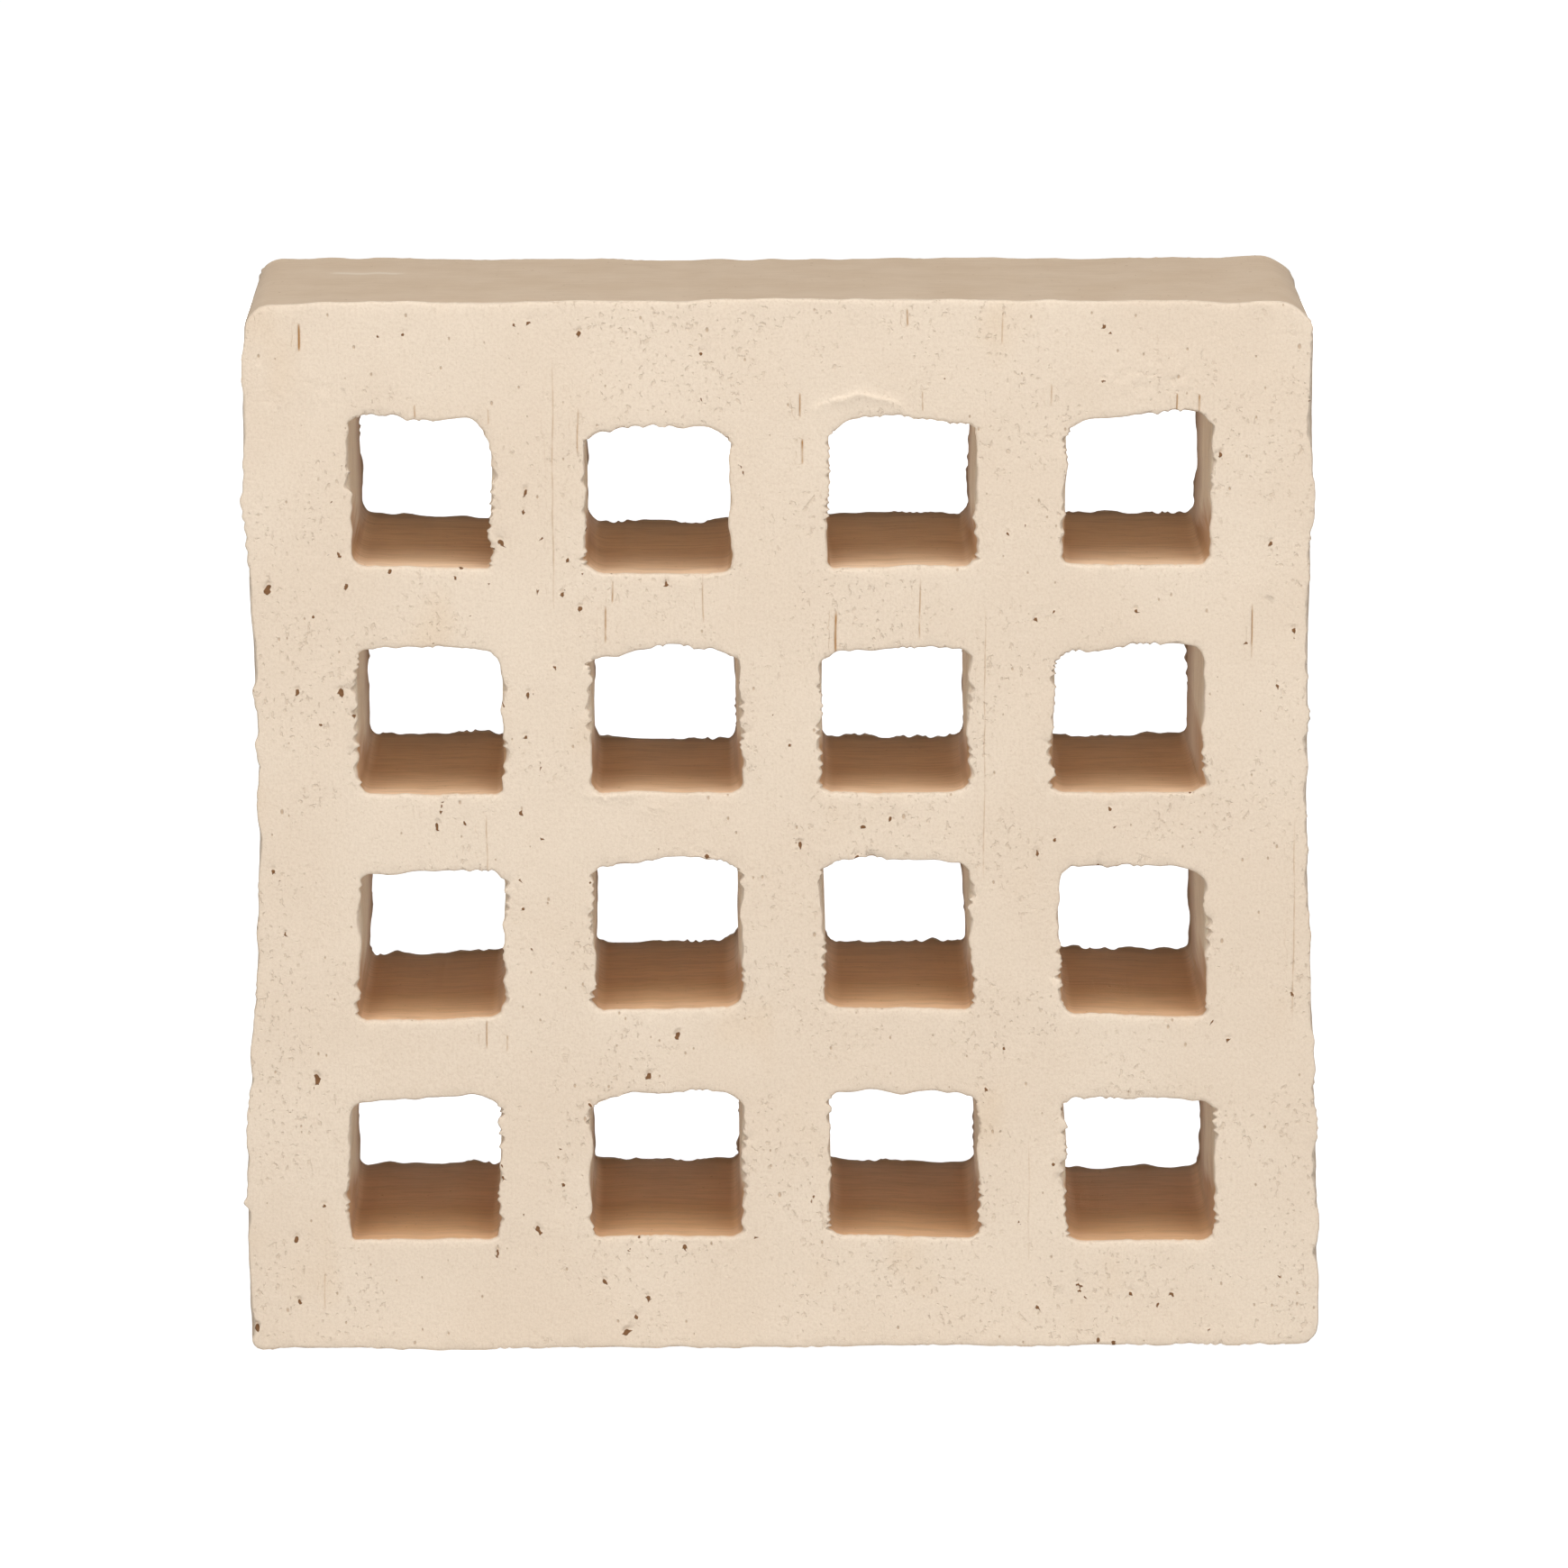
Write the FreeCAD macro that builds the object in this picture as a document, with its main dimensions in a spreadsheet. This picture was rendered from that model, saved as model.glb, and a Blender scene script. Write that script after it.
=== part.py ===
"""Breeze block: a square, one-piece unit of fired clay for screen walls.

The block is extruded along its depth, so one section runs straight through it: a square with
rounded corners, pierced by a grid of square cells. It stands on its bottom bed, as it is laid.

Axes: X runs along the wall, Y through it and Z up. The origin is the middle of the bottom bed.
All sizes are millimetres.
"""

import FreeCAD, Part
import math
import os
import Sketcher

NODE = "breeze_block"

# Alias, size and what it measures.
SIZES = [
    ("face_width", 200.0, "overall width of the face, along X"),
    ("face_height", 200.0, "overall height of the face, along Z"),
    ("block_depth", 60.0, "from the front face to the back face, along Y"),
    ("side_rim", 19.6, "wall between an end of the block and the nearest cells"),
    ("bed_rim", 21.5, "wall between a bed of the block and the nearest cells"),
    ("upright_web", 17.0, "wall between two columns of cells"),
    ("level_web", 15.0, "wall between two rows of cells"),
    ("cell_columns", 4, "cells across the face"),
    ("cell_rows", 4, "cells up the face"),
    ("top_corner_radius", 5.0, "outer corners beside the top bed"),
    ("bottom_corner_radius", 2.5, "outer corners beside the bottom bed"),
    ("cell_corner_radius", 2.8, "corners of each cell"),
    ("arris_radius", 0.6, "rounding of every edge that the cutting wire left"),
]

CELL_WIDTH = ("(sizes.face_width - 2 * sizes.side_rim"
              " - (sizes.cell_columns - 1) * sizes.upright_web) / sizes.cell_columns")
CELL_HEIGHT = ("(sizes.face_height - 2 * sizes.bed_rim"
               " - (sizes.cell_rows - 1) * sizes.level_web) / sizes.cell_rows")

# The end of a sketch element that a constraint names.
START, END, ORIGIN = 1, 2, 1
SKETCH_ORIGIN = -1


def make_sheet(doc):
    """The driving dimensions, one row each: alias, plain number and what it measures."""
    sheet = doc.addObject("Spreadsheet::Sheet", "sizes")
    for row, (alias, value, meaning) in enumerate(SIZES, start=1):
        sheet.set(f"A{row}", alias)
        sheet.set(f"B{row}", str(value))
        sheet.setAlias(f"B{row}", alias)
        sheet.set(f"C{row}", meaning)
    doc.recompute()
    return sheet


def section_sketch(body, name):
    """An empty sketch on the body's XZ plane, with sketch x along X and sketch y along Z."""
    sketch = body.newObject("Sketcher::SketchObject", name)
    plane = next(f for f in body.Origin.OriginFeatures if f.Role == "XZ_Plane")
    sketch.AttachmentSupport = [(plane, "")]
    sketch.MapMode = "FlatFace"
    return sketch


def rounded_rectangle(sketch, left, bottom, width, height, radii):
    """Four lines, each tangent to the arc at either end, held by named and bound sizes.

    left, bottom, width and height are expressions. radii holds the expressions for the two
    bottom corners and the two top corners.
    """
    point = FreeCAD.Vector
    half, corner = 10.0, 2.0
    inner = half - corner
    corners = [(-inner, -inner), (inner, -inner), (inner, inner), (-inner, inner)]
    lines = []
    for start, end in [((-inner, -half), (inner, -half)), ((half, -inner), (half, inner)),
                       ((inner, half), (-inner, half)), ((-half, inner), (-half, -inner))]:
        segment = Part.LineSegment(point(*start, 0), point(*end, 0))
        lines.append(sketch.addGeometry(segment, False))
    arcs = []
    for number, (x, y) in enumerate(corners):
        circle = Part.Circle(point(x, y, 0), point(0, 0, 1), corner)
        begin = (number + 2) * math.pi / 2
        arc = Part.ArcOfCircle(circle, begin, begin + math.pi / 2)
        arcs.append(sketch.addGeometry(arc, False))

    for number in range(4):
        sketch.addConstraint(Sketcher.Constraint(
            "Tangent", arcs[number], END, lines[number], START))
        sketch.addConstraint(Sketcher.Constraint(
            "Tangent", lines[number], END, arcs[(number + 1) % 4], START))
    for level in (lines[0], lines[2]):
        sketch.addConstraint(Sketcher.Constraint("Horizontal", level))
    for upright in (lines[1], lines[3]):
        sketch.addConstraint(Sketcher.Constraint("Vertical", upright))
    sketch.addConstraint(Sketcher.Constraint("Equal", arcs[0], arcs[1]))
    sketch.addConstraint(Sketcher.Constraint("Equal", arcs[2], arcs[3]))

    sized = [
        ("bottom_radius", Sketcher.Constraint("Radius", arcs[0], corner), radii[0]),
        ("top_radius", Sketcher.Constraint("Radius", arcs[2], corner), radii[1]),
        ("width", Sketcher.Constraint(
            "DistanceX", lines[3], START, lines[1], START, 2 * half), width),
        ("height", Sketcher.Constraint(
            "DistanceY", lines[0], START, lines[2], START, 2 * half), height),
        ("left", Sketcher.Constraint(
            "DistanceX", SKETCH_ORIGIN, ORIGIN, lines[3], START, -half), left),
        ("bottom", Sketcher.Constraint(
            "DistanceY", SKETCH_ORIGIN, ORIGIN, lines[0], START, -half), bottom),
    ]
    for name, constraint, expression in sized:
        number = sketch.addConstraint(constraint)
        sketch.renameConstraint(number, name)
        sketch.setExpression(f"Constraints.{name}", expression)


def pad_the_clay(doc, body):
    """The solid block, before its cells: the outer section, padded evenly to both sides."""
    sketch = section_sketch(body, "outer_section")
    rounded_rectangle(
        sketch,
        left="-sizes.face_width / 2",
        bottom="0",
        width="sizes.face_width",
        height="sizes.face_height",
        radii=("sizes.bottom_corner_radius", "sizes.top_corner_radius"),
    )
    pad = body.newObject("PartDesign::Pad", "clay_slug")
    pad.Profile = sketch
    pad.SideType = "Symmetric"
    pad.setExpression("Length", "sizes.block_depth")
    doc.recompute()
    return pad


def cut_the_cells(doc, body):
    """One cell, right through at the bottom left, and the grid that repeats it."""
    sketch = section_sketch(body, "cell_section")
    rounded_rectangle(
        sketch,
        left="-sizes.face_width / 2 + sizes.side_rim",
        bottom="sizes.bed_rim",
        width=CELL_WIDTH,
        height=CELL_HEIGHT,
        radii=("sizes.cell_corner_radius", "sizes.cell_corner_radius"),
    )
    pocket = body.newObject("PartDesign::Pocket", "first_cell")
    pocket.Profile = sketch
    pocket.SideType = "Symmetric"
    pocket.Type = "ThroughAll"
    doc.recompute()

    grid = body.newObject("PartDesign::LinearPattern", "cell_grid")
    grid.Originals = [pocket]
    grid.Direction = (sketch, ["H_Axis"])
    grid.Direction2 = (sketch, ["V_Axis"])
    grid.Mode = "Extent"
    grid.Mode2 = "Extent"
    across = f"(sizes.cell_columns - 1) * ({CELL_WIDTH} + sizes.upright_web)"
    upward = f"(sizes.cell_rows - 1) * ({CELL_HEIGHT} + sizes.level_web)"
    grid.setExpression("Length", across)
    grid.setExpression("Length2", upward)
    grid.setExpression("Occurrences", "sizes.cell_columns")
    grid.setExpression("Occurrences2", "sizes.cell_rows")
    body.Tip = grid
    doc.recompute()
    return grid


def round_the_arrises(doc, body, sheet, before):
    """A small fillet along every edge of the two wire-cut faces, cells and outline alike."""
    cut_face = sheet.block_depth / 2
    cut_faces = [
        f"Face{number}"
        for number, face in enumerate(before.Shape.Faces, start=1)
        if abs(abs(face.CenterOfMass.y) - cut_face) < 1e-6
    ]
    fillet = body.newObject("PartDesign::Fillet", "arrises")
    fillet.Base = (before, cut_faces)
    fillet.setExpression("Radius", "sizes.arris_radius")
    body.Tip = fillet
    doc.recompute()
    return fillet


def check(doc, body, sheet):
    """Stops the build if a feature failed or the cells aren't all cut."""
    failed = [o.Name for o in doc.Objects if {"Invalid", "Error"} & set(o.State)]
    if failed:
        raise RuntimeError(f"these objects failed to recompute: {failed}")
    shape = body.Shape
    if shape.isNull() or not shape.isValid() or len(shape.Solids) != 1:
        raise RuntimeError("the block isn't one valid solid")
    cells = int(sheet.cell_columns) * int(sheet.cell_rows)
    openings = {
        len(face.Wires) - 1
        for face in shape.Faces
        if abs(abs(face.CenterOfMass.y) - sheet.block_depth / 2) < 1e-6
    }
    if openings != {cells}:
        raise RuntimeError(f"the cut faces hold {openings} openings each, not {cells}")


def main():
    doc = FreeCAD.newDocument("breeze_block")
    sheet = make_sheet(doc)
    body = doc.addObject("PartDesign::Body", NODE)
    body.Label = NODE
    pad_the_clay(doc, body)
    grid = cut_the_cells(doc, body)
    round_the_arrises(doc, body, sheet, grid)
    check(doc, body, sheet)
    os.makedirs("parts", exist_ok=True)
    body.Shape.exportStep(os.path.join("parts", f"{body.Label}.step"))
    box = body.Shape.optimalBoundingBox()
    print(f"{body.Label}: {box.XLength:.2f} x {box.YLength:.2f} x {box.ZLength:.2f} mm,"
          f" {body.Shape.Volume / 1e6:.4f} litres, {len(body.Shape.Faces)} faces")


main()
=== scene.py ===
"""Fired-clay breeze block: its as-fired shape, its finish, and the studio around it.

The block starts as the skin of a lattice: the CAD section drawn with straight lines and carried
through the depth. Fields worked out on that lattice then move its points: the corners are rounded,
the arrises torn, the cells settled as they did in the kiln, and the two wire-cut faces pitted and
scored. All shape functions work in millimetres, with X along the wall, Y through it and Z up.
"""
import math

import bpy
import numpy as np
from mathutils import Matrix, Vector


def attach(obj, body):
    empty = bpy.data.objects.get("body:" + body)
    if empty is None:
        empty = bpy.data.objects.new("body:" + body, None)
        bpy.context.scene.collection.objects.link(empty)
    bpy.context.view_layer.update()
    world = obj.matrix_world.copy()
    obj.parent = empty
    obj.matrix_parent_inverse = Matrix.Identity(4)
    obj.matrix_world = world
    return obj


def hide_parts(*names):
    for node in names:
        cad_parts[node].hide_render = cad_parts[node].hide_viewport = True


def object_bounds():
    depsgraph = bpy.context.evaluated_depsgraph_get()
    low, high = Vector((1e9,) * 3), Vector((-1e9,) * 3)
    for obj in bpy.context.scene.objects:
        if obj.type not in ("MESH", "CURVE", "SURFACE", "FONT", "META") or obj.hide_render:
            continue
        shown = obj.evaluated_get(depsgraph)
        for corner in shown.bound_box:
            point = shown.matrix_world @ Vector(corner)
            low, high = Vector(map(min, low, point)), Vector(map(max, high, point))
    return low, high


bl_info = {
    "name": "Fired-clay breeze block",
    "version": (1, 0, 0),
    "blender": (4, 5, 0),
    "location": "3D View > Sidebar > Breeze block",
    "description": "A wire-cut screen block of fired clay, with its floor, lights and camera",
    "category": "Object",
}

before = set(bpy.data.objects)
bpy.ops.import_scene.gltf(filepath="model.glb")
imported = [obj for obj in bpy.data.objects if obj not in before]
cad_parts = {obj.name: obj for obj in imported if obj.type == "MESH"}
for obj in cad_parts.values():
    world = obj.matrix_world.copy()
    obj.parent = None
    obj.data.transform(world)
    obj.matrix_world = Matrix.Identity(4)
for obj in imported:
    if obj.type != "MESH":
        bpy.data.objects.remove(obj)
CAD_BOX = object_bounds()
CAD_SIZE = CAD_BOX[1] - CAD_BOX[0]

NODE = "breeze_block"
PIECE = "fired_clay_block"
BODY = "root"
MM = 0.001

# Where the camera stands and what it looks at, in metres.
CAMERA_PLACE = (-0.0134, -1.659, 0.4503)
CAMERA_AIM = (0.0008, -0.030, 0.1100)

# How far the section moved in drying and firing, in millimetres, read at the two ends or beds and
# at the four cell centres between them. Rows run from the bottom bed up, columns from the left end.
SETTLED_ALONG = (
    (-0.6, -0.6, 0.5, 1.5, 2.0, 2.2),
    (-0.8, -0.8, 0.6, 1.7, 2.1, 1.8),
    (1.6, 1.2, 0.8, 0.2, -0.2, -0.1),
    (2.0, 1.1, 0.6, -0.5, -1.0, -1.0),
    (0.3, 0.0, -0.3, 0.6, 0.6, -0.6),
    (0.3, 0.0, -0.3, 0.6, 0.4, -0.8),
)
SETTLED_UP = (
    (-0.2, -0.3, 0.0, 0.1, 0.2, 0.4),
    (-1.4, -0.5, 0.4, 0.1, -1.2, -0.8),
    (-0.3, -0.3, 1.9, 1.9, 0.6, 0.3),
    (0.0, 0.1, -0.4, -0.5, 0.0, 0.0),
    (0.3, 0.3, -1.1, 0.6, 0.7, 0.5),
    (0.3, 0.6, 0.9, 1.2, 0.8, 0.5),
)

# Corner radii of the cells in millimetres, by corner: rows from the bottom up (the lower and the
# upper corners of each row of cells), columns from the left.
CORNER_RADII = (
    (1.6, 1.8, 2.0, 2.0, 2.4, 2.4, 2.4, 2.4),
    (2.0, 3.6, 3.4, 3.2, 2.2, 2.0, 2.2, 2.2),
    (2.2, 2.5, 2.5, 2.8, 2.5, 2.0, 2.5, 2.2),
    (1.6, 3.2, 1.8, 3.8, 3.2, 2.0, 3.2, 3.0),
    (2.2, 1.8, 2.0, 2.0, 2.5, 2.5, 2.0, 2.0),
    (2.0, 3.6, 2.6, 3.2, 2.6, 2.2, 3.8, 2.2),
    (2.8, 1.8, 3.5, 2.0, 1.6, 2.2, 1.6, 2.4),
    (1.8, 5.2, 4.0, 4.6, 4.4, 2.0, 5.2, 2.6),
)

# How far the top edge of each cell bows up, in millimetres at five places across it: rows of
# cells from the bottom up, columns from the left.
TOP_EDGE_BOWS = (
    (
        (-0.7, -0.1, -0.5, 0.2, -0.6), (-1.8, -0.9, -0.9, -0.4, -1.2),
        (-1.0, -0.3, -0.6, -0.4, -0.9), (-1.0, -0.3, -0.4, -0.2, -1.0),
    ),
    (
        (-0.2, 0.0, 0.3, 0.2, -0.2), (-0.2, 0.0, 1.5, 1.2, 0.6),
        (0.2, 1.1, 1.1, 1.2, 0.2), (-0.2, 0.1, 0.4, 0.3, -0.2),
    ),
    (
        (-0.7, -0.4, -0.1, -0.2, -0.7), (-1.1, -0.7, 1.0, 0.7, -0.2),
        (-0.9, -0.2, 0.1, 0.5, -0.4), (-1.1, -1.2, -0.1, 0.4, -0.5),
    ),
    (
        (0.1, 0.5, -0.6, 0.1, -0.2), (-2.2, -1.4, -0.7, -1.2, -1.7),
        (-1.4, -0.3, -0.3, -1.4, -1.9), (-0.8, -0.5, 0.1, 0.8, -0.3),
    ),
)

# How far the back of each cell's sill dropped below its front, rows from the bottom up.
SILL_DROPS = (
    (-0.2, -0.3, 0.0, 0.5),
    (0.5, 0.2, 0.2, 0.3),
    (0.2, 1.6, 1.1, 0.8),
    (0.5, 0.4, 0.1, 0.3),
)

# How far one side of each cell moved along X at the front, and the other side at the back: the
# sides nearer the block's middle at the front, and the far ones at the back.
SIDE_SHIFTS_FRONT = (
    (0.5, 0.4, -0.4, -0.9),
    (0.1, 0.6, -0.7, 0.0),
    (0.1, 1.0, -0.6, -0.9),
    (-0.8, -0.6, 0.3, -0.3),
)
SIDE_SHIFTS_BACK = (
    (-0.4, -0.1, 0.6, 0.5),
    (0.1, 0.0, 0.1, -0.1),
    (-0.2, -0.3, 0.9, 0.0),
    (-0.1, -0.6, 0.4, 0.4),
)

# Nicks and nubs on the two ends at the front: (height, reach, push along X) in millimetres.
LEFT_NICKS = ((29.7, 0.9, -1.0), (4.2, 1.6, 0.7), (53.0, 1.4, 0.4), (147.0, 1.6, 0.3))
RIGHT_NICKS = ((18.6, 1.2, -0.7), (165.0, 2.2, 0.5), (178.0, 1.5, -0.4), (60.0, 1.6, 0.4))

# Raggedness of an edge: (wave, reach) pairs in millimetres, the last one in sharp teeth.
CELL_SIDE_WAVES = ((11.0, 0.30), (4.2, 0.38), (2.3, 1.35))
CELL_TOP_WAVES = ((9.0, 0.15), (4.2, 0.25), (2.8, 0.80))
CELL_SILL_WAVES = ((12.0, 0.20), (4.0, 0.14), (2.0, 0.35))
CELL_BACK_WAVES = ((12.0, 0.35), (5.0, 0.34), (2.8, 0.85))
OUTLINE_WAVES = ((18.0, 0.30), (9.0, 0.50), (3.4, 0.55))
FOOT_WAVES = ((16.0, 0.18), (7.0, 0.16), (3.2, 0.50))
SKIN_WAVES = ((16.0, 0.18), (6.0, 0.08), (3.0, 0.04))
TOP_BED_WAVES = ((30.0, 0.25), (9.0, 0.16), (3.4, 0.14))

# How far a move reaches from its edge before it falls to 1/e, in millimetres: of a ragged edge, past
# the ends of a ragged edge, of a moved edge, of a nick, of the foot and the top bed.
RAGGED_REACH = 1.5
RAGGED_END_REACH = 1.4
MOVED_REACH = 2.5
NICK_REACH = 2.0
BED_REACH = 2.0

# The same through the depth: of the tears (with their power), of the bows and moved sides, and of
# the relief of a cut face.
TORN_DEPTH = 1.5
TORN_POWER = 1.4
MOVED_DEPTH = 20.0
RELIEF_DEPTH = 0.6

# Grooves that grit left under the cutting wire: (x, top, bottom, width, depth).
DRAG_LINES = (
    (-42.3, 190.0, 144.0, 0.22, 0.16),
    (-89.3, 197.5, 192.3, 0.34, 0.45),
    (-37.6, 181.6, 172.5, 0.26, 0.20),
    (-67.9, 182.2, 179.6, 0.26, 0.25),
    (-54.2, 181.4, 178.4, 0.24, 0.22),
    (3.8, 184.4, 179.6, 0.26, 0.30),
    (4.2, 175.6, 170.8, 0.34, 0.40),
    (23.7, 200.0, 196.8, 0.26, 0.30),
    (41.4, 199.6, 193.4, 0.24, 0.22),
    (26.6, 184.6, 180.7, 0.20, 0.20),
    (50.6, 185.8, 181.8, 0.26, 0.28),
    (73.9, 184.2, 180.6, 0.26, 0.30),
    (78.0, 184.0, 180.4, 0.30, 0.34),
    (88.4, 144.2, 133.8, 0.24, 0.30),
    (-31.2, 148.8, 144.6, 0.26, 0.26),
    (-32.6, 144.0, 137.0, 0.28, 0.28),
    (-14.3, 150.0, 140.8, 0.22, 0.18),
    (26.2, 149.2, 137.6, 0.22, 0.22),
    (10.4, 143.0, 134.8, 0.36, 0.36),
    (38.4, 143.4, 91.2, 0.20, 0.14),
    (-55.0, 103.8, 92.6, 0.22, 0.18),
    (-55.3, 64.6, 59.2, 0.24, 0.26),
    (-51.4, 61.8, 58.6, 0.26, 0.26),
    (96.8, 102.6, 64.4, 0.22, 0.14),
    (-86.4, 15.6, 7.6, 0.26, 0.12),
    (47.2, 40.8, 17.0, 0.20, 0.08),
)

# Pits and chips that grit or air left in the cut: (x, z, radius, depth, stretch up the face).
PITS = (
    (-37.2, 195.6, 0.33, 0.5, 1.3),
    (-70.0, 195.2, 0.24, 0.35, 1.0),
    (-47.4, 165.5, 0.3, 0.55, 1.4),
    (-40.6, 146.3, 0.33, 0.5, 1.5),
    (-95.6, 147.2, 0.48, 0.4, 1.5),
    (-21.2, 148.4, 0.24, 0.45, 1.6),
    (42.5, 157.7, 0.36, 0.55, 0.9),
    (82.2, 172.5, 0.3, 0.6, 1.0),
    (66.7, 142.8, 0.33, 0.5, 1.1),
    (3.8, 98.4, 0.36, 0.55, 1.9),
    (-19.3, 61.1, 0.33, 0.55, 1.7),
    (-24.7, 53.7, 0.48, 0.45, 1.0),
    (-87.4, 53.0, 0.54, 0.5, 1.5),
    (-29.2, 3.6, 0.48, 0.5, 1.2),
    (-99.2, 4.6, 0.42, 0.7, 1.9),
    (-91.2, 9.8, 0.24, 0.45, 1.5),
    (-86.2, 28.4, 0.27, 0.45, 1.8),
    (-91.6, 21.6, 0.24, 0.4, 1.8),
    (-53.6, 19.6, 0.3, 0.6, 1.6),
    (-33.2, 13.4, 0.24, 0.4, 1.3),
    (-27.4, 6.6, 0.27, 0.4, 1.6),
    (66.6, 11.0, 0.24, 0.45, 1.2),
    (95.0, 14.2, 0.24, 0.4, 1.3),
    (-14.6, 191.6, 0.24, 0.4, 1.0),
    (60.4, 186.4, 0.27, 0.35, 0.8),
    (13.4, 196.6, 0.24, 0.4, 1.0),
    (30.6, 187.0, 0.33, 0.45, 0.7),
    (71.6, 162.0, 0.18, 0.4, 1.0),
    (22.6, 111.6, 0.24, 0.4, 1.4),
    (-58.6, 112.4, 0.21, 0.4, 1.2),
    (48.4, 96.6, 0.24, 0.4, 1.5),
    (84.6, 60.4, 0.24, 0.4, 1.2),
)

# A lip of clay folded over the cut above a cell: (x, z, half width, height, rise).
FLAP = (15.0, 179.8, 10.5, 3.6, 0.55)

# Crumbs and clay dragged over the cut: (x, z, half width, half height, rise).
SMEARS = (
    (-31.5, 107.0, 4.6, 0.9, 0.30),
    (73.4, 107.9, 3.4, 0.9, 0.34),
    (62.0, 151.4, 2.8, 0.8, 0.30),
    (-90.0, 184.0, 8.0, 4.6, 0.10),
    (70.0, 186.0, 12.0, 4.5, 0.12),
    (-52.6, 67.6, 2.2, 1.0, 0.25),
    (-24.0, 104.6, 3.0, 0.7, 0.20),
)


# ------------------------------------------------------------------------ lines and fields


def near(places, edge, reach):
    """1 at an edge, and exp(-distance / reach) to both sides of it."""
    return np.exp(-np.abs(places - edge) / reach)


def within(places, low, high, reach):
    """1 from low to high, and exp(-distance / reach) outside them."""
    outside = np.clip(low - places, 0, None) + np.clip(places - high, 0, None)
    return np.exp(-outside / reach)


def spline_weights(count, places):
    """How much each of count even knots counts at each place, by the Catmull-Rom cubic."""
    places = np.clip(places, 0.0, count - 1.0)
    knot = np.minimum(places.astype(int), count - 2)
    t = places - knot
    shares = (
        (-t + 2 * t**2 - t**3) / 2,
        (2 - 5 * t**2 + 3 * t**3) / 2,
        (t + 4 * t**2 - 3 * t**3) / 2,
        (t**3 - t**2) / 2,
    )
    weights = np.zeros((len(places), count))
    rows = np.arange(len(places))
    for step, share in enumerate(shares):
        column = np.clip(knot + step - 1, 0, count - 1)
        np.add.at(weights, (rows, column), share)
    return weights


def wander(rng, places, wave, lines=1):
    """Smooth random lines in -1..1, one a column, whose knots lie half a wave apart."""
    step = wave / 2
    start = places.min()
    count = int((places.max() - start) / step) + 3
    knots = rng.uniform(-1, 1, (count, lines))
    return spline_weights(count, (places - start) / step) @ knots


def ragged(rng, places, waves, lines):
    """Ragged lines: slow waves added up, and teeth made where the fastest wave crosses zero."""
    total = np.zeros((len(places), lines))
    for wave, reach in waves[:-1]:
        total += reach * wander(rng, places, wave, lines)
    wave, reach = waves[-1]
    bite = np.clip(0.45 + wander(rng, places, 5 * wave, lines), 0, 1)
    return total + reach * bite * (0.3 - np.abs(wander(rng, places, wave, lines)))


def mottle(rng, across, up, wave):
    """A smooth random field in about -1..1 on a grid: random knots, splined both ways."""
    columns = int(np.ptp(across) / wave * 2) + 3
    rows = int(np.ptp(up) / wave * 2) + 3
    knots = rng.uniform(-1, 1, (columns, rows))
    along = spline_weights(columns, (across - across.min()) / wave * 2)
    upward = spline_weights(rows, (up - up.min()) / wave * 2)
    return along @ knots @ upward.T


def graded(stops, pitch):
    """Grid lines through every stop: close beside it, and pitch apart in between."""
    beside = np.array([0.0, 0.12, 0.28, 0.5])
    clear = 0.75
    runs = []
    for low, high in zip(stops[:-1], stops[1:]):
        inner = (low + clear, high - clear)
        count = max(2, round((inner[1] - inner[0]) / pitch))
        runs += [low + beside, np.linspace(*inner, count), high - beside[:0:-1]]
    return np.concatenate([*runs, stops[-1:]])


def depth_lines(depth, count):
    """Grid lines through the depth: half the depth times t to the 1.7, from either face."""
    below = depth / 2 * np.linspace(0, 1, count) ** 1.7
    return np.concatenate([below - depth / 2, (depth / 2 - below)[-2::-1]])


# --------------------------------------------------------------------------- the section


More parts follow.
